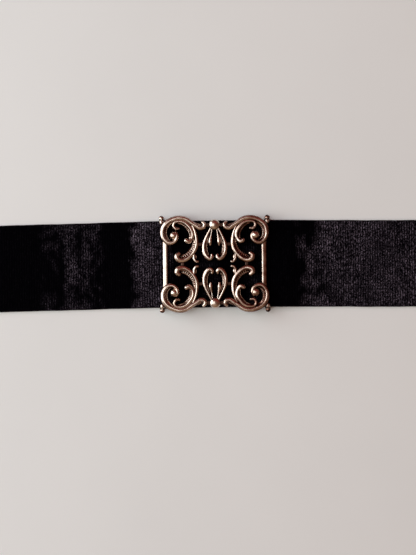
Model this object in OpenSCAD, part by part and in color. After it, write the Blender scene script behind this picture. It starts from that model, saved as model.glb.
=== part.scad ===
// Openwork belt buckle with a hinged scroll face, on a velvet band.
// +X runs along the band to the right, +Y across it, +Z out of the front.
// The origin is under the middle of the buckle, on the surface it lies on.

/* [Band] */
// Width of the velvet band
band_w = 40.6; // [40:0.1:40.8]
// Thickness of the velvet band
band_t = 1; // [0.8:0.05:1]
// Distance from the buckle's middle to each cut end of the band
band_reach = 104; // [70:1:200]

/* [Rear plate] */
// Thickness of the stamped rear plate
plate_t = 0.8; // [0.6:0.05:0.8]
// Thickness of the four ears bent up from the plate
ear_t = 0.55; // [0.45:0.05:0.6]
// Radius of the rounded ear tops
ear_r = 1.15; // [1.05:0.05:1.2]

/* [Hinge and catch] */
// Distance from the middle to the hinge axis and to the catch axis
axis_x = 24.6; // [24.5:0.05:24.8]
// Height of the hinge axis and the catch axis
axis_z = 4.1; // [4.05:0.05:4.15]
// Radius of the hinge pins and catch pins
pin_r = 0.5; // [0.4:0.05:0.5]
// Radial running clearance of the pins
pin_gap = 0.05; // [0.03:0.01:0.08]
// Radius of the ball heads on the pins
bead_r = 1.25; // [1.2:0.05:1.3]

/* [Scroll face] */
// Height of the flat back of the scrollwork
scroll_z = 4.7; // [4.7:0.05:4.75]
// Height of a stroke of no width
stroke_rise = 1; // [0.7:0.05:1.2]
// Extra height for each millimetre of stroke width
stroke_swell = 0.55; // [0.3:0.05:0.7]
// Radius of the two ball studs
stud_r = 2.5; // [2:0.1:2.6]
// Width of the two side bars
bar_w = 2.4; // [2:0.1:2.6]

/* [Hidden] */
$fn = 48;
band_half = band_w / 2;
band_side_gap = 0.2;
band_gap = 0.1;

// The fixed band lies on the plate and the free band slides over it
fixed_z = plate_t;
free_z = fixed_z + band_t + band_gap;
fixed_inner_end = 18;
free_inner_end = -22.9;
slope_start = 28;
slope_end = 52;
slope_steps = 8;

// Flush rivets that hold the fixed band to the plate
rivet_x = 12;
rivet_pitch = 12;
rivet_r = 0.9;
rivet_head_r = 1.6;
rivet_head_t = 0.4;

// Rear plate outline and ears
plate_half_x = axis_x + ear_r;
plate_half_y = 19.9;
plate_corner_r = 2;
ear_y = band_half + band_side_gap;

// Side bars and their knuckles
bar_x = 23;
bar_z = 3.3;
bar_top = scroll_z + 0.2;
bar_round = 0.6;
knuckle_r = 0.95;
knuckle_y0 = 18.7;
knuckle_y1 = ear_y - 0.1;
bar_end_y = 19.6;
bead_seat_y = ear_y + ear_t + pin_gap;
bead_y = bead_seat_y + 0.2 * bead_r;

// Grip strip under the right side bar
grip_w = 1.6;
grip_root_z = bar_z + 0.2;
grip_root_t = 0.25;
grip_tip_z = free_z + band_t + 0.05;
grip_pitch = 1.2;
grip_count = 28;

// Ties that hold the openwork together behind the scrolls
tie_z = 3.5;
tie_h = scroll_z + 0.2 - tie_z;
tie_w = 1.5;

// Ball studs
stud_y = 18.1;
stud_z = 4.9;
stud_cut_z = 3.4;
stud_tie_reach = 6.6;
lyre_tie_y = 9.2;
mid_tie_x = 14.9;

// Centre lines of the strokes of one quarter: x, y, width of the rib and width of the ledge
// beside it. The ledge is on the left of the line's direction where it is positive.
corner_scroll_line = [
    [5.4, 19.3, 1.5, 0], [4.6, 18.2, 1.9, 0], [5.1, 16.9, 1.9, 0.3], [6.7, 16.4, 1.9, 0.8],
    [8.4, 17.4, 2.0, 0.7], [10.5, 19.0, 2.1, 0], [13.2, 20.8, 2.2, 0], [16.3, 21.4, 2.3, 0],
    [19.4, 20.9, 2.2, -0.6], [22.0, 19.5, 2.1, -1.0], [23.9, 17.1, 2.0, -1.3], [24.4, 14.2, 1.9, -1.5],
    [23.7, 11.8, 1.8, -1.4], [22.0, 10.0, 1.8, -1.1], [20.0, 9.7, 1.8, -0.6], [18.1, 10.9, 1.9, 0],
    [17.4, 12.9, 2.0, 0], [18.0, 14.5, 1.6, 0]
];
inner_scroll_line = [
    [16.5, 16.5, 1.2, 0], [18.0, 16.5, 1.5, 0], [19.0, 18.0, 1.5, 0], [18.1, 19.6, 1.5, 0.2],
    [15.6, 20.0, 1.6, 0.8], [13.4, 19.2, 1.7, 1.0], [11.6, 17.5, 1.8, 1.1], [10.2, 15.3, 1.8, 1.2],
    [9.9, 13.4, 1.7, 1.2], [10.5, 11.6, 1.6, 0.9], [11.9, 10.4, 2.2, 0], [13.2, 10.9, 2.3, 0]
];
stem_scroll_line = [
    [10.3, 18.0, 1.0, 0], [9.1, 15.2, 1.3, 0], [8.3, 12.2, 1.5, 0.6], [8.15, 9.3, 1.6, 1.4],
    [8.8, 6.7, 1.7, 1.5], [10.4, 4.3, 1.7, 1.7], [12.5, 2.4, 1.8, 1.9], [14.9, 1.5, 2.0, 1.9],
    [17.0, 2.1, 2.5, 0.5], [17.6, 3.7, 2.5, 0], [16.6, 4.8, 2.1, 0]
];
leaf_curl_line = [
    [9.6, 5.6, 0.9, 0], [9.8, 3.6, 1.2, -0.8], [9.7, 2.4, 1.3, -0.8], [8.8, 1.3, 1.4, 0], [7.8, 1.1, 1.3, 0]
];
lyre_arm_line = [
    [1.5, 17.0, 1.1, 0], [3.5, 13.4, 1.2, -0.5], [4.8, 10.4, 1.4, -0.9], [5.25, 7.7, 1.6, -1.1],
    [4.9, 5.2, 1.8, -1.0], [3.7, 3.1, 2.0, -0.7], [2.2, 2.4, 2.1, 0], [1.25, 3.3, 2.0, 0], [1.3, 4.2, 1.5, 0]
];
teardrop_line = [
    [1.1, 16.5, 0.7, 0], [1.5, 13.6, 0.8, 0], [1.9, 11.6, 1.5, 0], [2.05, 10.2, 1.9, 0], [2.05, 8.8, 1.1, 0]
];
volute_ball = [18.9, 13.3];
volute_ball_r = 1.9;

// Cross-section of a rib: across from -1 to 1, and up from 0 to 1
rib_section = [[0.97, 0.5], [0.62, 0.87], [0, 1], [-0.62, 0.87], [-0.97, 0.5]];
ledge_h = 0.75;
full_ledge = 0.7;
// How far a rib's crest leans to its ledge, as a share of half its width
crest_lean = 0.3;

silver = [0.72, 0.66, 0.61];
dark_silver = [0.42, 0.34, 0.29];
velvet = [0.07, 0.06, 0.08];

// Each quarter of the face: name ending, side along X, side along Y
QUARTERS = [["top_left", -1, 1], ["top_right", 1, 1], ["bottom_left", -1, -1], ["bottom_right", 1, -1]];

// Point on a smooth curve through a, b, c and d, where t runs from b to c
function curve_point(a, b, c, d, t) =
    0.5 * (2 * b + (c - a) * t + (2 * a - 5 * b + 4 * c - d) * t * t + (3 * b - a - 3 * c + d) * t * t * t);

// A line's points with extra points between them, n to each stretch
function smooth_line(line, n) = concat(
    [for (i = [0 : len(line) - 2]) for (k = [0 : n - 1])
        curve_point(line[max(i - 1, 0)], line[i], line[i + 1], line[min(i + 2, len(line) - 1)], k / n)],
    [line[len(line) - 1]]
);

// A line moved to the quarter on side sx, sy
function in_quarter(line, sx, sy) = [for (p = line) [p[0] * sx, p[1] * sy, p[2], p[3] * sx * sy]];

// Unit vector across the line at its point i, to the left
function across(line, i) =
    let (
        d = line[min(i + 1, len(line) - 1)] - line[max(i - 1, 0)],
        size = norm([d[0], d[1]])
    )
    [-d[1] / size, d[0] / size];

// Cross-section at path point p, as distance to the left and height above the flat back
function section(p) =
    let (
        half = p[2] / 2,
        left = half + max(p[3], 0),
        right = -half - max(-p[3], 0),
        top = stroke_rise + stroke_swell * p[2],
        lean = crest_lean * half * sign(p[3]) * min(abs(p[3]) / full_ledge, 1)
    )
    concat(
        [[left, 0], [left, ledge_h]],
        [for (s = rib_section) [s[0] * half + lean * (2 * s[1] - 1), s[1] * top]],
        [[right, ledge_h], [right, 0]]
    );

// One scroll stroke: a domed rib with a lower ledge and a flat back, swept along its line
module stroke(line, sx, sy, n = 2) {
    path = in_quarter(smooth_line(line, n), sx, sy);
    rings = len(path);
    m = len(section(path[0]));
    points = [
        for (i = [0 : rings - 1])
            let (side = across(path, i))
            for (s = section(path[i]))
                [path[i][0] + side[0] * s[0], path[i][1] + side[1] * s[0], scroll_z + s[1]]
    ];
    sides = [
        for (i = [0 : rings - 2]) for (j = [0 : m - 1]) for (half = [0, 1])
            let (a = i * m + j, b = i * m + (j + 1) % m, c = b + m, d = a + m)
            half == 0 ? [a, d, c] : [a, c, b]
    ];
    start_cap = [for (j = [1 : m - 2]) [0, j, j + 1]];
    last = (rings - 1) * m;
    end_cap = [for (j = [1 : m - 2]) [last, last + j + 1, last + j]];
    color(silver) polyhedron(points = points, faces = concat(sides, start_cap, end_cap));
}

// A pin along Y for the ear on side sx, sy, with a ball head that is cut flat beside the ear
module ball_pin(sx, sy) {
    length = bead_y - knuckle_y0 - 0.1;
    color(silver)
        translate([sx * axis_x, sy * bead_y, axis_z])
            rotate([sy * 90, 0, 0]) {
                difference() {
                    sphere(r = bead_r);
                    translate([-bead_r, -bead_r, bead_y - bead_seat_y]) cube(2 * bead_r);
                }
                cylinder(r = pin_r, h = length);
            }
}

module hinge_pins() {
    ball_pin(1, 1);
    ball_pin(1, -1);
}

module catch_pins() {
    ball_pin(-1, 1);
    ball_pin(-1, -1);
}

// A round bar along Y, centred at x, z on both sides of the face
module cross_bore(x, z, r) {
    translate([x, 0, z]) rotate([90, 0, 0]) cylinder(r = r, h = 2 * bead_y, center = true);
}

// One rivet, or the hole that it fills, standing on z = 0
module rivet(x, y) {
    top = fixed_z + band_t;
    translate([x, y, 0])
        rotate_extrude()
            polygon([
                [0, 0], [rivet_head_r, 0], [rivet_r, rivet_head_t], [rivet_r, top - rivet_head_t],
                [rivet_head_r, top], [0, top]
            ]);
}

module band_rivets() {
    color(dark_silver)
        for (k = [-1 : 1])
            rivet(rivet_x, k * rivet_pitch);
}

// Ear on side sx, sy, standing on its tab
module ear(sx, sy) {
    centre_y = sy * (ear_y + ear_t / 2);
    translate([sx * axis_x, centre_y, axis_z])
        rotate([90, 0, 0]) cylinder(r = ear_r, h = ear_t, center = true);
    translate([sx * axis_x - ear_r, centre_y - ear_t / 2, 0])
        cube([2 * ear_r, ear_t, axis_z]);
    translate([sx * axis_x - ear_r, sy > 0 ? plate_half_y - plate_corner_r : -ear_y, 0])
        cube([2 * ear_r, ear_y - plate_half_y + plate_corner_r, plate_t]);
}

// Open-topped slot that a catch pin drops into
module catch_slot(sy) {
    slot_w = 2 * (pin_r + pin_gap);
    translate([-axis_x - slot_w / 2, sy > 0 ? ear_y - 0.1 : -ear_y - ear_t - 0.1, axis_z])
        cube([slot_w, ear_t + 0.2, 2 * ear_r]);
}

module rear_plate() {
    color(dark_silver)
        difference() {
            union() {
                linear_extrude(plate_t) {
                    square([2 * plate_half_x - 2 * plate_corner_r, 2 * plate_half_y], center = true);
                    square([2 * plate_half_x, 2 * plate_half_y - 2 * plate_corner_r], center = true);
                    for (sx = [-1, 1]) for (sy = [-1, 1])
                        translate([sx * (plate_half_x - plate_corner_r), sy * (plate_half_y - plate_corner_r)])
                            circle(r = plate_corner_r);
                }
                for (sx = [-1, 1]) for (sy = [-1, 1])
                    ear(sx, sy);
            }
            cross_bore(axis_x, axis_z, pin_r);
            cross_bore(-axis_x, axis_z, pin_r + pin_gap);
            for (sy = [-1, 1])
                catch_slot(sy);
            for (k = [-1 : 1])
                rivet(rivet_x, k * rivet_pitch);
        }
}

// Height of the underside of a band at distance x, falling from z to the floor
function band_floor(x, z) =
    z * 0.5 * (1 + cos(180 * min(max((x - slope_start) / (slope_end - slope_start), 0), 1)));

// A band from the inner end to the cut end at the right
module band(inner_end, z) {
    stations = concat(
        [inner_end],
        [for (k = [0 : slope_steps]) slope_start + (slope_end - slope_start) * k / slope_steps],
        [band_reach]
    );
    under = [for (x = stations) [x, band_floor(x, z)]];
    over = [for (k = [len(stations) - 1 : -1 : 0]) [stations[k], band_floor(stations[k], z) + band_t]];
    rotate([90, 0, 0])
        linear_extrude(height = band_w, center = true)
            polygon(concat(under, over));
}

module fixed_band() {
    color(velvet)
        difference() {
            mirror([1, 0, 0]) band(-fixed_inner_end, fixed_z);
            for (k = [-1 : 1])
                rivet(rivet_x, k * rivet_pitch);
        }
}

module free_band() {
    color(velvet) band(free_inner_end, free_z);
}

// Side bar on side sx, with a knuckle at each end bored to bore_r
module side_bar(sx, bore_r) {
    height = bar_top - bar_z;
    color(silver)
        difference() {
            union() {
                translate([sx * bar_x, 0, bar_z])
                    rotate([90, 0, 0])
                        linear_extrude(height = 2 * bar_end_y, center = true) {
                            translate([-bar_w / 2, 0]) square([bar_w, height - bar_round]);
                            translate([-bar_w / 2 + bar_round, 0]) square([bar_w - 2 * bar_round, height]);
                            for (side = [-1, 1])
                                translate([side * (bar_w / 2 - bar_round), height - bar_round])
                                    circle(r = bar_round);
                        }
                for (sy = [-1, 1])
                    translate([sx * axis_x, sy * (knuckle_y0 + knuckle_y1) / 2, axis_z])
                        rotate([90, 0, 0])
                            cylinder(r = knuckle_r, h = knuckle_y1 - knuckle_y0, center = true);
            }
            for (sy = [-1, 1])
                translate([sx * axis_x, sy * (knuckle_y0 + knuckle_y1) / 2, axis_z])
                    rotate([90, 0, 0])
                        cylinder(r = bore_r, h = knuckle_y1 - knuckle_y0 + 0.2, center = true);
        }
}

module side_bar_left() {
    side_bar(-1, pin_r);
}

module side_bar_right() {
    side_bar(1, pin_r + pin_gap);
}

// Toothed strip soldered under the right side bar, which grips the nap
module grip_strip() {
    half = grip_count * grip_pitch / 2;
    gullet_z = grip_root_z - grip_root_t;
    teeth = [
        for (k = [0 : grip_count - 1]) for (step = [0, 1])
            [-half + (k + step / 2) * grip_pitch, step == 0 ? gullet_z : grip_tip_z]
    ];
    color(dark_silver)
        translate([bar_x - grip_w / 2, 0, 0])
            rotate([90, 0, 90])
                linear_extrude(grip_w)
                    polygon(concat([[-half, grip_root_z]], teeth, [[half, gullet_z], [half, grip_root_z]]));
}

// Tie behind a ball stud, reaching the corner scrolls on both sides
module stud_tie(sy) {
    color(dark_silver)
        translate([-stud_tie_reach, sy * stud_y - tie_w / 2, tie_z])
            cube([2 * stud_tie_reach, tie_w, tie_h]);
}

module ball_stud(sy) {
    color(silver)
        difference() {
            translate([0, sy * stud_y, stud_z]) sphere(r = stud_r);
            translate([-stud_r, sy * stud_y - stud_r, stud_cut_z - 2 * stud_r])
                cube(2 * stud_r);
        }
}

// Tie between the big curls of the upper and lower stem scrolls
module mid_tie(sx) {
    color(dark_silver)
        translate([sx * mid_tie_x - tie_w / 2, -1, scroll_z - 0.4])
            cube([tie_w, 2, 1.4]);
}

// Tie from a lyre arm to the stem scroll beside it
module lyre_tie(sx, sy) {
    reach = [5, 8.2];
    color(dark_silver)
        translate([sx > 0 ? reach[0] : -reach[1], sy * lyre_tie_y - tie_w / 2, tie_z])
            cube([reach[1] - reach[0], tie_w, tie_h]);
}

module volute_ball(sx, sy) {
    color(silver)
        difference() {
            translate([sx * volute_ball[0], sy * volute_ball[1], scroll_z + 0.6]) sphere(r = volute_ball_r);
            translate([sx * volute_ball[0] - 3, sy * volute_ball[1] - 3, scroll_z - 6]) cube(6);
        }
}

rear_plate();
hinge_pins();
band_rivets();
fixed_band();
free_band();
side_bar_left();
side_bar_right();
catch_pins();
grip_strip();
stud_tie(1);  // stud_tie_top
stud_tie(-1);  // stud_tie_bottom
ball_stud(1);  // ball_stud_top
ball_stud(-1);  // ball_stud_bottom
mid_tie(-1);  // mid_tie_left
mid_tie(1);  // mid_tie_right
for (q = QUARTERS) {
    lyre_tie(q[1], q[2]);
    stroke(corner_scroll_line, q[1], q[2], 1);
    volute_ball(q[1], q[2]);
    stroke(inner_scroll_line, q[1], q[2], 1);
    stroke(stem_scroll_line, q[1], q[2]);
    stroke(leaf_curl_line, q[1], q[2]);
    stroke(lyre_arm_line, q[1], q[2]);
    stroke(teardrop_line, q[1], q[2]);
}
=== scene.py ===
"""Openwork belt buckle on a black velvet band: the looks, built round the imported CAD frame."""

import math

import bmesh
import bpy
from mathutils import Matrix, Vector, noise


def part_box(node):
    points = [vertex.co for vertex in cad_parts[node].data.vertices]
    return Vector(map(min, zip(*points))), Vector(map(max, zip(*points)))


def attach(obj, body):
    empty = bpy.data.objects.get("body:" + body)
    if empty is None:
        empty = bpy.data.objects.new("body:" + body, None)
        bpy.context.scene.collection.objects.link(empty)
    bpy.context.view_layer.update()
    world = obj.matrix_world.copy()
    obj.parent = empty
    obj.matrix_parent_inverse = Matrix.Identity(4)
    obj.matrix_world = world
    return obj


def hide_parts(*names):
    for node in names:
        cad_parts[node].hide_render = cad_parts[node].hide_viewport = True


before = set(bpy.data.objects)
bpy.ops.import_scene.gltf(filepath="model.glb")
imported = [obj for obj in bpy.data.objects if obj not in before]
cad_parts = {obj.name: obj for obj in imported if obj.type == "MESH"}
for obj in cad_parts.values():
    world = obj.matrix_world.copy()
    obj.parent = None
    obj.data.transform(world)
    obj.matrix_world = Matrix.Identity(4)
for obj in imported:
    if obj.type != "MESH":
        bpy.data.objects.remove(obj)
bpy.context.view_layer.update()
MM = 0.001
noise.seed_set(7)  # without a seed, the castings' waves would follow the clock

# ---------------------------------------------------------------- driving sizes, in millimetres
STROKE_RISE = 1.0  # height of a stroke of no width
STROKE_SWELL = 0.55  # extra height for each millimetre of width
STROKE_STEPS = 9  # rings to each stretch of a stroke's line
PUNCHED_STEPS = 27  # rings to each stretch whose ledge has punched dots
CAST_WAVE = 0.025  # how far the cast surface wanders
CAST_WAVE_SIZE = 1.6  # spacing of its waves
BALL_WAVE_SIZE = 2.2
STUD_DOME = 0.66  # height of a stud's dome, as a share of its radius
VOLUTE_DOME = 0.72  # height of a volute ball's dome, as a share of the ball's height
DOT_SHARE = 0.23  # a punched dot's radius, as a share of the ledge's width
DOT_PITCH = 3.0  # from dot to dot along a ledge, in radii
DOT_PLACE = 0.42  # how far out on the ledge the dots are, as a share of its width
DOT_DEPTH = 0.42
DOT_PATINA = 3.5  # how fast a dot darkens towards its middle
DOTTED_LEDGE = 0.45  # the narrowest ledge that has dots
RIB_PITCH = 1.15  # spacing of the velvet's ribs, which run across the band
RIB_DEPTH = 0.09
SLOPE = (28.0, 52.0)  # where a band falls from the buckle to the floor
VIEW_H = 256.6  # what the picture's height covers at the scrollwork
CAMERA_XY = (-3.2, -6.3)
CAMERA_ROLL = -0.6  # degrees
LENS, SENSOR = 60.0, 36.0

# Each quarter of the face: node name ending, side along X and side along Y
QUARTERS = (("top_left", -1, 1), ("top_right", 1, 1), ("bottom_left", -1, -1), ("bottom_right", 1, -1))

# Centre lines of one quarter's strokes, as in the CAD: x, y, rib width, ledge width. The ledge is
# on the left of the line's direction where it is positive. Dots run from and to a place on the line.
STROKES = {
    "corner_scroll": {
        "line": [
            (5.4, 19.3, 1.5, 0), (4.6, 18.2, 1.9, 0), (5.1, 16.9, 1.9, 0.3), (6.7, 16.4, 1.9, 0.8),
            (8.4, 17.4, 2.0, 0.7), (10.5, 19.0, 2.1, 0), (13.2, 20.8, 2.2, 0), (16.3, 21.4, 2.3, 0),
            (19.4, 20.9, 2.2, -0.6), (22.0, 19.5, 2.1, -1.0), (23.9, 17.1, 2.0, -1.3),
            (24.4, 14.2, 1.9, -1.5), (23.7, 11.8, 1.8, -1.4), (22.0, 10.0, 1.8, -1.1),
            (20.0, 9.7, 1.8, -0.6), (18.1, 10.9, 1.9, 0), (17.4, 12.9, 2.0, 0), (18.0, 14.5, 1.6, 0),
        ],
        "dots": (9.4, 14.6),
    },
    "inner_scroll": {
        "line": [
            (16.5, 16.5, 1.2, 0), (18.0, 16.5, 1.5, 0), (19.0, 18.0, 1.5, 0), (18.1, 19.6, 1.5, 0.2),
            (15.6, 20.0, 1.6, 0.8), (13.4, 19.2, 1.7, 1.0), (11.6, 17.5, 1.8, 1.1),
            (10.2, 15.3, 1.8, 1.2), (9.9, 13.4, 1.7, 1.2), (10.5, 11.6, 1.6, 0.9),
            (11.9, 10.4, 2.2, 0), (13.2, 10.9, 2.3, 0),
        ],
        "dots": (4.2, 8.6),
    },
    "stem_scroll": {
        "line": [
            (10.3, 18.0, 1.0, 0), (9.1, 15.2, 1.3, 0), (8.3, 12.2, 1.5, 0.6), (8.15, 9.3, 1.6, 1.4),
            (8.8, 6.7, 1.7, 1.5), (10.4, 4.3, 1.7, 1.7), (12.5, 2.4, 1.8, 1.9), (14.9, 1.5, 2.0, 1.9),
            (17.0, 2.1, 2.5, 0.5), (17.6, 3.7, 2.5, 0), (16.6, 4.8, 2.1, 0),
        ],
        "dots": (2.6, 7.6),
    },
    "leaf_curl": {
        "line": [
            (9.6, 5.6, 0.9, 0), (9.8, 3.6, 1.2, -0.8), (9.7, 2.4, 1.3, -0.8), (8.8, 1.3, 1.4, 0),
            (7.8, 1.1, 1.3, 0),
        ],
    },
    "lyre_arm": {
        "line": [
            (1.5, 17.0, 1.1, 0), (3.5, 13.4, 1.2, -0.5), (4.8, 10.4, 1.4, -0.9), (5.25, 7.7, 1.6, -1.1),
            (4.9, 5.2, 1.8, -1.0), (3.7, 3.1, 2.0, -0.7), (2.2, 2.4, 2.1, 0), (1.25, 3.3, 2.0, 0),
            (1.3, 4.2, 1.5, 0),
        ],
        "dots": (2.0, 5.2),
    },
    "teardrop": {
        "line": [
            (1.1, 16.5, 0.7, 0), (1.5, 13.6, 0.8, 0), (1.9, 11.6, 1.5, 0), (2.05, 10.2, 1.9, 0),
            (2.05, 8.8, 1.1, 0),
        ],
    },
}

# A ledge's outer edge from its foot: share of the ledge's width, share of the stroke's height,
# and patina. The slope from its inner end up to the rib follows.
LEDGE_EDGE = (
    (1.00, 0.00, 1.0), (1.00, 0.22, 0.9), (0.97, 0.37, 0.3), (0.90, 0.43, 0.0), (0.83, 0.38, 0.3),
)
SLOPE_SHARE = (0.74, 0.03)  # places of the slope's two ends, as shares of the ledge's width
SLOPE_HEIGHT = (0.31, 0.52)  # their heights, as shares of the stroke's height
SLOPE_PATINA = (0.1, 0.95)
SLOPE_POINTS = 11
FULL_LEDGE = 0.7  # a ledge this wide has its whole edge and slope
RIB_POINTS = 12
RIB_SHOULDER = 0.3  # share of the height at which the dome starts
RIB_CLEAN = 0.9  # share of the dome's height above which it has no patina
CREST_LEAN = 0.35  # how far a rib's crest leans to its ledge, as a share of half its width
CROWDING = 0.85  # how far a point may stand in towards a bend's centre, as a share of its radius
END_TURNS = (0.97, 0.86, 0.7, 0.5, 0.26)  # rings of a rounded end, as shares of its reach
END_REACH = (0.45, 0.5)  # how far the two ends reach, as shares of their widths
END_HEIGHT = 0.35  # share of its height that an end keeps at its tip


# ---------------------------------------------------------------- mesh helpers
SHARP_ANGLE = 50  # edges sharper than this many degrees stay sharp


def mix(a, b, t):
    """The value a share t of the way from a to b."""
    return a + (b - a) * t


def clamp(value):
    return max(0.0, min(1.0, value))


def mm(x, y, z):
    return Vector((x, y, z)) * MM


def new_object(name, bm, material):
    """A mesh object from bm, smooth except at its sharp edges."""
    bmesh.ops.recalc_face_normals(bm, faces=bm.faces)
    mesh = bpy.data.meshes.new(name)
    bm.to_mesh(mesh)
    bm.free()
    mesh.polygons.foreach_set("use_smooth", [True] * len(mesh.polygons))
    mesh.set_sharp_from_angle(angle=math.radians(SHARP_ANGLE))
    mesh.materials.append(material)
    obj = bpy.data.objects.new(name, mesh)
    bpy.context.scene.collection.objects.link(obj)
    return obj


def tone_layer(bm):
    """Each point's tone: how dark with patina metal is, with painted shade under the pin heads, or how
    scuffed velvet is, with painted light on its ribs' crests.
    """
    return bm.verts.layers.float.get("tone") or bm.verts.layers.float.new("tone")


def loft(bm, rings):
    """Skins closed rings of (point, tone) pairs and caps both ends."""
    layer = tone_layer(bm)
    grid = []
    for ring in rings:
        row = []
        for point, tone in ring:
            vert = bm.verts.new(point)
            vert[layer] = tone
            row.append(vert)
        grid.append(row)
    count = len(grid[0])
    for a, b in zip(grid, grid[1:]):
        for j in range(count):
            k = (j + 1) % count
            bm.faces.new((a[j], a[k], b[k], b[j]))
    bm.faces.new(grid[0])
    bm.faces.new(reversed(grid[-1]))


def lathe(bm, profile, matrix, segments=32):
    """Turns (radius, height, patina) points about the matrix's Z axis; a radius of 0 is a pole."""
    layer = tone_layer(bm)
    rows = []
    for radius, height, patina in profile:
        turns = segments if radius > 0 else 1
        row = []
        for k in range(turns):
            angle = math.tau * k / segments
            vert = bm.verts.new(matrix @ mm(radius * math.cos(angle), radius * math.sin(angle), height))
            vert[layer] = patina
            row.append(vert)
        rows.append(row)
    for a, b in zip(rows, rows[1:]):
        for k in range(segments):
            j = (k + 1) % segments
            if len(a) == 1:
                bm.faces.new((a[0], b[j], b[k]))
            elif len(b) == 1:
                bm.faces.new((a[k], a[j], b[0]))
            else:
                bm.faces.new((a[k], a[j], b[j], b[k]))


def ball_profile(radius, centre, low, steps, squash=1.0):
    """Lathe points up a ball from latitude low to its top, dark towards its foot."""
    points = []
    for k in range(steps + 1):
        angle = math.radians(mix(low, 90, k / steps))
        around = radius * math.cos(angle)
        height = radius * math.sin(angle) * squash
        patina = clamp(0.25 - 1.1 * math.sin(angle))
        points.append((around if around > 1e-6 else 0, centre + height, patina))
    return points


def roughen(bm, depth=CAST_WAVE, size=CAST_WAVE_SIZE):
    """Lets the surface wander a little, as a hand-finished casting does."""
    for vert in bm.verts:
        place = vert.co / (size * MM)
        vert.co += noise.noise_vector(place) * depth * MM


# ---------------------------------------------------------------- materials
class Nodes:
    """The node tree of a material or a world, with short calls to add and link nodes."""

    def __init__(self, owner, shader="Principled BSDF"):
        owner.use_nodes = True
        self.owner = owner
        self.tree = owner.node_tree
        self.shader = self.tree.nodes[shader]

    def add(self, kind, **values):
        node = self.tree.nodes.new(kind)
        for key, value in values.items():
            setattr(node, key, value)
        return node

    def link(self, source, target):
        self.tree.links.new(source, target)

    def feed(self, socket, value):
        if isinstance(value, bpy.types.NodeSocket):
            self.link(value, socket)
        else:
            socket.default_value = value

    def attribute(self, name):
        return self.add("ShaderNodeAttribute", attribute_name=name).outputs["Fac"]

    def noise(self, scale, detail=3.0, roughness=0.55, stretch=None):
        node = self.add("ShaderNodeTexNoise")
        node.inputs["Scale"].default_value = scale
        node.inputs["Detail"].default_value = detail
        node.inputs["Roughness"].default_value = roughness
        coords = self.add("ShaderNodeTexCoord").outputs["Object"]
        if stretch:
            mapping = self.add("ShaderNodeMapping")
            mapping.inputs["Scale"].default_value = stretch
            self.link(coords, mapping.inputs["Vector"])
            coords = mapping.outputs["Vector"]
        self.link(coords, node.inputs["Vector"])
        return node.outputs["Fac"]

    def along_x(self):
        split = self.add("ShaderNodeSeparateXYZ")
        self.link(self.add("ShaderNodeTexCoord").outputs["Object"], split.inputs[0])
        return split.outputs["X"]

    def math(self, operation, *values):
        node = self.add("ShaderNodeMath", operation=operation)
        for socket, value in zip(node.inputs, values):
            self.feed(socket, value)
        return node.outputs[0]

    def spread(self, value, low, high, to_low=0.0, to_high=1.0):
        node = self.add("ShaderNodeMapRange")
        for key, item in (("Value", value), ("From Min", low), ("From Max", high),
                          ("To Min", to_low), ("To Max", to_high)):
            self.feed(node.inputs[key], item)
        return node.outputs["Result"]

    def blend(self, factor, a, b):
        node = self.add("ShaderNodeMix", data_type="RGBA")
        self.feed(node.inputs["Factor"], factor)
        self.feed(node.inputs["A"], a)
        self.feed(node.inputs["B"], b)
        return node.outputs["Result"]

    def bump(self, height, strength, distance, normal=None):
        node = self.add("ShaderNodeBump")
        node.inputs["Strength"].default_value = strength
        node.inputs["Distance"].default_value = distance
        self.link(height, node.inputs["Height"])
        if normal:
            self.link(normal, node.inputs["Normal"])
        return node.outputs["Normal"]

    def set(self, name, value):
        self.feed(self.shader.inputs[name], value)


def antique_silver():
    """Silver plate rubbed bright on the high spots and brown in the recesses, with painted light and
    shade: lighter towards the left, where the window is, and darker towards the right.
    """
    n = Nodes(bpy.data.materials.new("antique_silver"))
    cloud = n.noise(260, 4)
    speck = n.noise(2600, 2)
    patina_and_side_shade = n.math("ADD", n.attribute("tone"), n.spread(cloud, 0.35, 0.7, -0.12, 0.2))
    patina_and_side_shade = n.math("ADD", patina_and_side_shade, n.spread(speck, 0.4, 0.75, -0.05, 0.12))
    # Painted light and shade: the metal is made lighter towards the left, where the window is, and
    # darker towards the right.
    patina_and_side_shade = n.math("ADD", patina_and_side_shade, n.spread(n.along_x(), -0.025, 0.025, -0.14, 0.17))
    dark = n.spread(patina_and_side_shade, 0.05, 0.85)
    bright = n.blend(n.spread(cloud, 0.35, 0.65), (0.73, 0.63, 0.545, 1), (0.60, 0.49, 0.41, 1))
    colour = n.blend(n.spread(dark, 0, 0.5), bright, (0.25, 0.105, 0.07, 1))
    n.set("Base Color", n.blend(n.spread(dark, 0.4, 1), colour, (0.028, 0.01, 0.006, 1)))
    n.set("Metallic", 1.0)
    n.set("Roughness", n.spread(dark, 0, 1, 0.25, 0.38))
    fine = n.bump(n.noise(5200, 2), 0.12, 0.00003)
    n.set("Normal", n.bump(n.noise(900, 3), 0.18, 0.00008, fine))
    return n.owner


def dark_silver():
    """Oxidised plate of the parts behind the band, with faint drawing lines; on the ties under the face
    it is partly painted shade.
    """
    n = Nodes(bpy.data.materials.new("dark_silver"))
    cloud = n.noise(180, 5)
    lines = n.noise(420, 4, 0.6, (1.0, 14.0, 14.0))
    tone = n.math("ADD", n.math("MULTIPLY", cloud, 0.7), n.math("MULTIPLY", lines, 0.3))
    colour = n.blend(n.spread(tone, 0.35, 0.65), (0.05, 0.026, 0.02, 1), (0.13, 0.08, 0.06, 1))
    n.set("Base Color", colour)
    n.set("Metallic", 1.0)
    n.set("Roughness", n.spread(tone, 0.3, 0.7, 0.38, 0.6))
    n.set("Normal", n.bump(lines, 0.25, 0.00005))
    return n.owner


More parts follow.
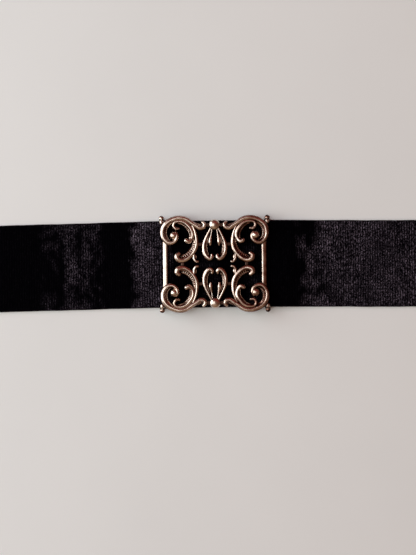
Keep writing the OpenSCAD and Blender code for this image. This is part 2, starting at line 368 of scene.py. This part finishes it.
def velvet():
    """Black ribbed velvet whose nap is scuffed grey in patches, with painted light on the ribs' crests
    and painted shade between them.
    """
    n = Nodes(bpy.data.materials.new("velvet"))
    pile = n.noise(2400, 2, 0.75, (1.0, 0.55, 1.0))
    drift = n.noise(420, 5, 0.7)
    grain = n.math("MULTIPLY", n.spread(pile, 0.48, 0.64), n.spread(drift, 0.36, 0.62, 0.25, 1.0))
    # How grey the nap is: the scuffs, with painted light on the ribs' crests, broken by the pile's
    # grain.
    lit = n.math("MULTIPLY", n.attribute("tone"), grain)
    colour = n.blend(n.spread(lit, 0, 0.85), (0.0004, 0.0003, 0.0009, 1), (0.22, 0.187, 0.245, 1))
    n.set("Base Color", colour)
    n.set("Roughness", 0.95)
    n.set("Specular IOR Level", 0.01)
    n.set("Sheen Weight", 0.003)
    n.set("Sheen Roughness", 0.45)
    n.set("Sheen Tint", (0.72, 0.62, 0.78, 1))
    n.set("Normal", n.bump(pile, 0.6, 0.00012))
    return n.owner


def floor_paper():
    """Plain pale studio paper."""
    n = Nodes(bpy.data.materials.new("floor_paper"))
    tone = n.noise(9, 3)
    colour = n.blend(n.spread(tone, 0.3, 0.7), (0.83, 0.868, 0.87, 1), (0.86, 0.898, 0.90, 1))
    n.set("Base Color", colour)
    n.set("Roughness", 0.85)
    n.set("Specular IOR Level", 0.2)
    return n.owner


SILVER = antique_silver()
DARK = dark_silver()
VELVET = velvet()


# ---------------------------------------------------------------- scroll strokes
def curve_point(a, b, c, d, t):
    """The value at t from b to c on a smooth curve through a, b, c and d."""
    return 0.5 * (2 * b + (c - a) * t + (2 * a - 5 * b + 4 * c - d) * t * t
                  + (3 * b - a - 3 * c + d) * t ** 3)


def line_at(line, at):
    """The line's x, y, width and ledge at a place between its points."""
    last = len(line) - 1
    i = min(int(at), last - 1)
    near = [line[min(max(i + k, 0), last)] for k in (-1, 0, 1, 2)]
    return [curve_point(*(p[axis] for p in near), at - i) for axis in range(4)]


def line_frame(line, at):
    """The place, the unit vectors along and to the left of the line, the width and the ledge."""
    step = 0.02
    last = len(line) - 1
    x, y, width, ledge = line_at(line, at)
    before = line_at(line, max(at - step, 0))
    after = line_at(line, min(at + step, last))
    along = Vector((after[0] - before[0], after[1] - before[1])).normalized()
    return Vector((x, y)), along, Vector((-along.y, along.x)), max(width, 0.3), ledge


def bend_at(line, at):
    """How sharply the line turns to the left, per millimetre."""
    step = 0.15
    last = len(line) - 1
    a = line_frame(line, max(at - step, 0))
    b = line_frame(line, min(at + step, last))
    return (a[1].x * b[1].y - a[1].y * b[1].x) / max((b[0] - a[0]).length, 1e-6)


def ledge_profile():
    """Points (share of the ledge, share of the height, patina) from its foot to the rib."""
    points = list(LEDGE_EDGE)
    for k in range(SLOPE_POINTS):
        t = k / (SLOPE_POINTS - 1)
        points.append((mix(*SLOPE_SHARE, t), mix(*SLOPE_HEIGHT, t), mix(*SLOPE_PATINA, t ** 5)))
    return points


PROFILE = ledge_profile()


def stroke_section(width, ledge):
    """Points (across, up, patina, on the ledge) from the left foot over the rib to the right foot."""
    half = width / 2
    height = STROKE_RISE + STROKE_SWELL * width

    def side(sign, size):
        full = min(size / FULL_LEDGE, 1)
        points = []
        for k, (share, high, patina) in enumerate(PROFILE):
            plain = RIB_SHOULDER * k / len(PROFILE)
            up = height * mix(plain, high, full)
            points.append((sign * (half + size * share), up, mix(0.8, patina, full), full > 0))
        return points

    rib = []
    lean = math.copysign(CREST_LEAN * half * min(abs(ledge) / FULL_LEDGE, 1), ledge)
    for k in range(RIB_POINTS + 1):
        angle = math.pi * k / RIB_POINTS
        rise = math.sin(angle)
        up = height * mix(RIB_SHOULDER, 1, rise ** 0.8)
        patina = max(0, 1 - rise / RIB_CLEAN)
        rib.append((half * math.cos(angle) + lean * rise ** 2, up, patina, False))
    return side(1, max(ledge, 0)) + rib + side(-1, max(-ledge, 0))[::-1]


def stroke_ring(line, at, base, dots=(), forward=0.0, shrink=1.0):
    """The ring of the stroke at a place; a rounded end's rings are moved forward and shrunk."""
    place, along, left, width, ledge = line_frame(line, at)
    bend = bend_at(line, at)
    ring = []
    for across, up, patina, on_ledge in stroke_section(width, ledge):
        across *= shrink
        if across * bend > CROWDING:
            across = CROWDING / bend
        point = place + along * forward + left * across
        if on_ledge:
            for dot, radius in dots:
                dip = 1 - (point - dot).length_squared / radius ** 2
                if dip > 0:
                    up -= DOT_DEPTH * dip
                    patina = min(1, patina + DOT_PATINA * dip)
        ring.append((mm(point.x, point.y, base + up * mix(END_HEIGHT, 1, shrink)), patina))
    return ring


def rounded_rings(line, base, dots, punched):
    """Every ring of a stroke, with both ends rounded off and more rings where it has dots."""
    last = len(line) - 1
    rings = []
    for turn in END_TURNS:
        reach = -END_REACH[0] * line[0][2] * turn
        rings.append(stroke_ring(line, 0, base, (), reach, math.sqrt(1 - turn * turn)))
    at = 0.0
    margin = 0.2
    while at < last:
        rings.append(stroke_ring(line, at, base, dots))
        near_dots = punched[0] - margin < at < punched[1] + margin
        at += 1 / (PUNCHED_STEPS if near_dots else STROKE_STEPS)
    for turn in (0.0, *reversed(END_TURNS)):
        reach = END_REACH[1] * line[-1][2] * turn
        rings.append(stroke_ring(line, last, base, (), reach, math.sqrt(1 - turn * turn)))
    return rings


def dot_places(line, start, end):
    """Punched dots along a ledge, larger and further apart where it is wide: place and radius."""
    dots = []
    travelled = 0.0
    previous = line_frame(line, start)[0]
    step = 0.01
    for k in range(int((end - start) / step)):
        place, _, left, width, ledge = line_frame(line, start + k * step)
        travelled += (place - previous).length
        previous = place
        radius = DOT_SHARE * abs(ledge)
        if travelled >= DOT_PITCH * radius and abs(ledge) > DOTTED_LEDGE:
            travelled = 0.0
            across = math.copysign(width / 2 + DOT_PLACE * abs(ledge), ledge)
            dots.append((place + left * across, radius))
    return dots


def silver_piece(name, bm, node, body):
    """An object in antique silver that stands for a node and rides on its body."""
    obj = new_object(name, bm, SILVER)
    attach(obj, body)
    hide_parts(node)


def stroke(name, kind, sx, sy):
    """One scroll stroke in a quarter, with its punched ledge."""
    facts = STROKES[kind]
    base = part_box(name)[0][2] / MM
    line = [(x * sx, y * sy, width, ledge * sx * sy) for x, y, width, ledge in facts["line"]]
    punched = facts.get("dots", (0, 0))
    bm = bmesh.new()
    loft(bm, rounded_rings(line, base, dot_places(line, *punched), punched))
    roughen(bm)
    silver_piece(name + "_casting", bm, name, "face")


# ---------------------------------------------------------------- balls
def ball_measures(name):
    """Centre, radius, foot and top of a round node, in millimetres."""
    low, high = (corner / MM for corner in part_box(name))
    return (low + high) / 2, (high[0] - low[0]) / 2, low[2], high[2]


def ball_stud(name):
    """A domed ball on a small rolled foot."""
    centre, radius, foot, top = ball_measures(name)
    bm = bmesh.new()
    profile = [(0, foot, 1), (radius * 0.86, foot, 1), (radius * 0.93, foot + 0.3, 0.9)]
    profile += ball_profile(radius, top - STUD_DOME * radius, -18, 18, STUD_DOME)
    lathe(bm, profile, Matrix.Translation(mm(centre[0], centre[1], 0)), 48)
    roughen(bm, size=BALL_WAVE_SIZE)
    silver_piece(name + "_casting", bm, name, "face")


def volute_ball(name):
    """The soft ball in the eye of a corner scroll."""
    centre, radius, foot, top = ball_measures(name)
    dome = VOLUTE_DOME * (top - foot)
    bm = bmesh.new()
    profile = [(0, foot, 1), (radius * 0.9, foot, 1)]
    profile += ball_profile(radius, top - dome, -10, 14, dome / radius)
    lathe(bm, profile, Matrix.Translation(mm(centre[0], centre[1], 0)), 40)
    roughen(bm, size=BALL_WAVE_SIZE)
    silver_piece(name + "_casting", bm, name, "face")


for ending, side_x, side_y in QUARTERS:
    for stroke_kind in STROKES:
        stroke(f"{stroke_kind}_{ending}", stroke_kind, side_x, side_y)
    volute_ball("volute_ball_" + ending)
for ending in ("top", "bottom"):
    ball_stud("ball_stud_" + ending)


# ---------------------------------------------------------------- side bars and pins
BAR_X = 23.0
BAR_W = 2.4
BAR_H = 1.6  # height of a bar, with the pins' axis at its middle
BAR_FOOT = 0.92  # width of the flat underside, as a share of the bar's width
BAR_LEAN = 0.45  # how far the bar's crest leans towards the middle of the buckle
BAR_POINTS = 16
BAR_STATIONS = 40
BAR_END = 19.6  # where a bar ends, part of the way along its knuckle
BAR_TAPER = (0.15, 0.92)  # length and final size of the chamfer at a bar's end
KNUCKLE = (18.7, 20.4)  # where a knuckle starts and ends along the bar
KNUCKLE_R = 0.95
BORE_R = 0.55
PIN_R = 0.5
PIN_INNER = 18.8  # where a pin ends inside its knuckle
HEAD_SEAT = 21.1  # where a pin's domed head sits against its ear
SOFT_EDGE = 0.12


def outward(x, y, z, sy):
    """A frame at a point whose Z axis points away from the buckle along Y."""
    return Matrix.Translation(mm(x, y, z)) @ Matrix.Rotation(-sy * math.pi / 2, 4, "X")


def side_bar(name, sx, pins):
    """A domed bar with a knuckle at each end, bored for the pins."""
    pin_low, pin_high = (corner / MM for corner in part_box(pins))
    axis_x, axis_z = (pin_low[0] + pin_high[0]) / 2, (pin_low[2] + pin_high[2]) / 2
    foot = axis_z - BAR_H / 2
    bm = bmesh.new()
    taper, end_size = BAR_TAPER
    even = BAR_END - taper
    stations = [(mix(-even, even, k / BAR_STATIONS), 1) for k in range(BAR_STATIONS + 1)]
    rings = []
    for y, size in [(-BAR_END, end_size), *stations, (BAR_END, end_size)]:
        half = 0.5 * BAR_W * size
        ring = [(mm(sx * (BAR_X + BAR_FOOT * half), y, foot), 1.0)]
        for k in range(BAR_POINTS + 1):
            angle = math.pi * k / BAR_POINTS
            rise = math.sin(angle)
            across = half * math.cos(angle) - BAR_LEAN * rise ** 2
            up = BAR_H * mix(0.3, size, rise ** 0.85)
            ring.append((mm(sx * (BAR_X + across), y, foot + up), 0.6 * (1 - rise) ** 1.4))
        ring.append((mm(sx * (BAR_X - BAR_FOOT * half), y, foot), 1.0))
        rings.append(ring)
    loft(bm, rings)
    length = KNUCKLE[1] - KNUCKLE[0]
    barrel = [
        (BORE_R, 0, 1), (KNUCKLE_R - SOFT_EDGE, 0, 0.6), (KNUCKLE_R, SOFT_EDGE, 0.1),
        (KNUCKLE_R, length - SOFT_EDGE, 0), (KNUCKLE_R - SOFT_EDGE, length, 0.5), (BORE_R, length, 1),
        (BORE_R, 0, 1),
    ]
    for sy in (-1, 1):
        lathe(bm, barrel, outward(axis_x, sy * KNUCKLE[0], axis_z, sy), 28)
    bmesh.ops.remove_doubles(bm, verts=bm.verts, dist=1e-7)
    roughen(bm, 0.6 * CAST_WAVE)
    silver_piece(name + "_casting", bm, name, "face")


def ball_pins(name, body):
    """The two domed pins on one side: patina at their outer ends, and painted shade that darkens them
    underneath and lightens their tops.
    """
    centre, radius, _, _ = ball_measures(name)
    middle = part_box(name)[1][1] / MM - radius - PIN_INNER
    seat = HEAD_SEAT - PIN_INNER
    low_turn = math.degrees(math.asin((seat - middle) / radius))
    profile = [(0, 0, 1), (PIN_R * 0.8, 0, 1), (PIN_R, 0.1, 1), (PIN_R, seat, 1)]
    profile += ball_profile(radius, middle, low_turn, 14)
    bm = bmesh.new()
    for sy in (-1, 1):
        lathe(bm, profile, outward(centre[0], sy * PIN_INNER, centre[2], sy), 32)
    layer = tone_layer(bm)
    for vert in bm.verts:
        up = (vert.co.z / MM - centre[2]) / radius
        out = max(0.0, abs(vert.co.y) / MM - HEAD_SEAT) / radius
        # Patina towards the outer ends; painted shade: darker lower down and lighter on top.
        vert[layer] = clamp(0.45 + 0.8 * out - 0.4 * up)
    silver_piece(name + "_turned", bm, name, body)


side_bar("side_bar_left", -1, "catch_pins")
side_bar("side_bar_right", 1, "hinge_pins")
ball_pins("catch_pins", "face")
ball_pins("hinge_pins", "rear_frame")


# ---------------------------------------------------------------- CAD pieces that stay as they are
TIE_EDGE = 0.45  # rounding of a tie's edges
PLATE_EDGE = 0.1


def finish_node(name, soft_edge=0):
    """Gives a CAD node the dark finish, and rounded edges where soft_edge isn't 0."""
    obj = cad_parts[name]
    obj.data.materials.clear()
    obj.data.materials.append(DARK)
    weld = obj.modifiers.new("weld", "WELD")
    weld.merge_threshold = 1e-6
    if soft_edge:
        bevel = obj.modifiers.new("soft_edge", "BEVEL")
        bevel.width = soft_edge * MM
        bevel.segments = 3
        bevel.limit_method = "ANGLE"
        bevel.angle_limit = math.radians(40)
        bevel.harden_normals = True


finish_node("rear_plate", PLATE_EDGE)
finish_node("band_rivets")
finish_node("grip_strip")
# The ties are the face's metal but take the dark finish: partly oxide in the hollows, partly painted
# shade where they sit low under the scrollwork.
for ending in ("top", "bottom"):
    finish_node("stud_tie_" + ending, TIE_EDGE)
for ending in ("left", "right"):
    finish_node("mid_tie_" + ending, TIE_EDGE)
for ending, _, _ in QUARTERS:
    finish_node("lyre_tie_" + ending, TIE_EDGE)


# ---------------------------------------------------------------- velvet bands
STATION = 0.19  # spacing of the velvet's cross-sections
ACROSS = 46  # spaces between the velvet's points across the top
ACROSS_UNDER = 8  # spaces across the underside
EDGE_POINTS = 6
BAND_THICK = 1.0
BAND_WAVE = 0.35  # how far a band lifts off the floor between its dips
BAND_SWAY = 0.18  # how far its edges wander sideways beyond the buckle
RAMP = 30  # length over which the wave and the sway grow
# Painted light and shade on the velvet: a scuff's tone is raised on each rib's crest and lowered in the
# hollow between ribs.
CREST_LIGHT_TONE, HOLLOW_SHADE_TONE = 1.35, 0.15  # a scuff's strength on a rib and between ribs
EDGE_TONE, UNDER_TONE = 0.25, 0.1
UNSCUFFED = 0.015  # tone of the nap between the scuffs
# Where the nap is scuffed grey: from and to along the band, strength, patchiness. The patch from -41 to
# -20, beside the buckle on the left, is partly painted light where the band slopes up to the buckle and
# faces the window.
SCUFFS = (
    (-82, -50, 0.35, 1.0), (-74, -63, 0.7, 1.0), (-41, -20, 1.0, 0.5), (-11, 6, 0.2, 0.8),
    (12, 24, 0.3, 0.8), (38, 60, 1.0, 1.0), (47, 110, 0.75, 0.4),
)


def wander(x, y, z):
    """Smooth noise from about -1 to 1."""
    return noise.noise(Vector((x, y, z)))


def scuff_at(x, y):
    """How scuffed the nap is, in patches with ragged edges; the patch beside the buckle on the left is
    partly painted light.
    """
    ragged = 5 * wander(x / 9, y / 9, 3.1) + 2.5 * wander(x / 2.6, y / 2.6, 8.4)
    patch = clamp(0.5 + 1.3 * (wander(x / 8, y / 11, 1.7) + 0.6 * wander(x / 2.7, y / 4, 4.2)))
    amount = UNSCUFFED
    for start, end, strength, patchy in SCUFFS:
        inside = clamp(min(x + ragged - start, end - x - ragged) / 5)
        amount = max(amount, strength * inside * mix(1, patch, patchy))
    return amount


def fall(x):
    """Share of its height at the buckle that a band keeps at distance x from the middle."""
    fallen = clamp((x - SLOPE[0]) / (SLOPE[1] - SLOPE[0]))
    return 0.5 * (1 + math.cos(math.pi * fallen))


def velvet_ring(place, shift, under, half):
    """One cross-section of a band: over the ribbed top, down one edge, back and up the other."""
    radius = BAND_THICK / 2

    def edge(side):
        points = []
        for k in range(1, EDGE_POINTS):
            angle = side * math.pi / 2 - math.pi * k / EDGE_POINTS
            y = side * half + radius * math.cos(angle)
            points.append((mm(place, y + shift, under + radius * (1 + math.sin(angle))), EDGE_TONE))
        return points

    wobble = 0.35 * wander(place / 4, 0, 9)
    top = []
    for k in range(ACROSS + 1):
        y = mix(-half, half, k / ACROSS)
        phase = place / RIB_PITCH + 0.25 * wander(place / 6, y / 5, 7)
        hollow = 0.5 - 0.5 * math.cos(math.tau * phase)
        dip = RIB_DEPTH * hollow * (1 + wobble)
        # Painted light on the rib's crest and painted shade in its hollow, on top of the scuff.
        tone = scuff_at(place, y) * mix(CREST_LIGHT_TONE, HOLLOW_SHADE_TONE, hollow)
        top.append((mm(place, y + shift, under + BAND_THICK - dip), tone))
    underside = []
    for k in range(ACROSS_UNDER + 1):
        y = mix(half, -half, k / ACROSS_UNDER)
        underside.append((mm(place, y + shift, under), UNDER_TONE))
    return top + edge(1) + underside + edge(-1)


def velvet_band(name, body, side, turn):
    """One band, ribbed and rounded at its edges; it turns a little sideways beyond the buckle."""
    low, high = (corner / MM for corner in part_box(name))
    outer = high[0] if side > 0 else -low[0]
    inner = low[0] if side > 0 else -high[0]
    width = high[1] - low[1]
    lift = high[2] - BAND_THICK
    count = round((outer - inner) / STATION)
    slant = math.tan(math.radians(turn))
    rings = []
    for k in range(count + 1):
        x = mix(inner, outer, k / count)
        place = side * x
        free = clamp((x - SLOPE[0]) / RAMP)
        under = lift * fall(x) + free * BAND_WAVE * (0.5 + 0.5 * wander(place / 17, 0, 5))
        shift = slant * max(0, x - SLOPE[0]) + free * BAND_SWAY * wander(place / 11, 0, 2)
        rings.append(velvet_ring(place, shift, under, width / 2 - BAND_THICK / 2))
    bm = bmesh.new()
    loft(bm, rings)
    obj = new_object(name + "_velvet", bm, VELVET)
    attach(obj, body)
    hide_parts(name)


velvet_band("fixed_band", "rear_frame", -1, -1.04)
velvet_band("free_band", "free_end", 1, -0.6)

# ---------------------------------------------------------------- floor, light and camera
FLOOR_SIZE = 6.0  # metres, as the lights' places and sizes are
DAYLIGHT = (0.94, 1.0, 1.01)


def floor():
    bpy.ops.mesh.primitive_plane_add(size=FLOOR_SIZE)
    plane = bpy.context.object
    plane.name = "studio_floor"
    plane.data.materials.append(floor_paper())


def area_light(name, place, size, watts):
    """A soft light aimed at the buckle."""
    data = bpy.data.lights.new(name, "AREA")
    data.shape = "RECTANGLE"
    data.size, data.size_y = size
    data.energy = watts
    data.color = DAYLIGHT
    light = bpy.data.objects.new(name, data)
    light.location = place
    light.rotation_euler = (-Vector(place)).to_track_quat("-Z", "Y").to_euler()
    bpy.context.scene.collection.objects.link(light)


def world_light():
    """A dim brown room round the lit table, darker to the right and redder beyond the buckle."""
    n = Nodes(bpy.data.worlds.new("studio"), "Background")
    split = n.add("ShaderNodeSeparateXYZ")
    n.link(n.add("ShaderNodeTexCoord").outputs["Generated"], split.inputs[0])
    right = n.spread(split.outputs["X"], -0.2, 0.35)
    beyond = n.spread(split.outputs["Y"], 0.05, 0.6)
    near = n.spread(split.outputs["Y"], -0.2, -0.8)
    colour = n.blend(right, (0.36, 0.28, 0.24, 1), (0.16, 0.075, 0.05, 1))
    colour = n.blend(beyond, colour, (0.24, 0.035, 0.028, 1))
    colour = n.blend(near, colour, (0.40, 0.27, 0.17, 1))
    n.set("Color", n.blend(n.spread(split.outputs["Z"], 0.1, 0.55), (0.05, 0.02, 0.012, 1), colour))
    bpy.context.scene.world = n.owner


def camera():
    """A camera straight above, at the height that makes the picture VIEW_H tall at the scrollwork."""
    data = bpy.data.cameras.new("camera")
    data.lens = LENS
    data.sensor_width = SENSOR
    data.clip_start = 0.01
    obj = bpy.data.objects.new("camera", data)
    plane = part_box("corner_scroll_top_left")[1].z
    obj.location = (CAMERA_XY[0] * MM, CAMERA_XY[1] * MM, plane + VIEW_H * MM * LENS / SENSOR)
    obj.rotation_euler = (0, 0, math.radians(CAMERA_ROLL))
    bpy.context.scene.collection.objects.link(obj)
    bpy.context.scene.camera = obj


floor()
area_light("window", (-1.4, 0.27, 0.56), (1.6, 1.12), 26.5)
area_light("sky_panel", (-0.5, 0.05, 1.1), (0.8, 0.8), 3.9)
world_light()
camera()
bpy.context.scene.view_settings.view_transform = "Standard"
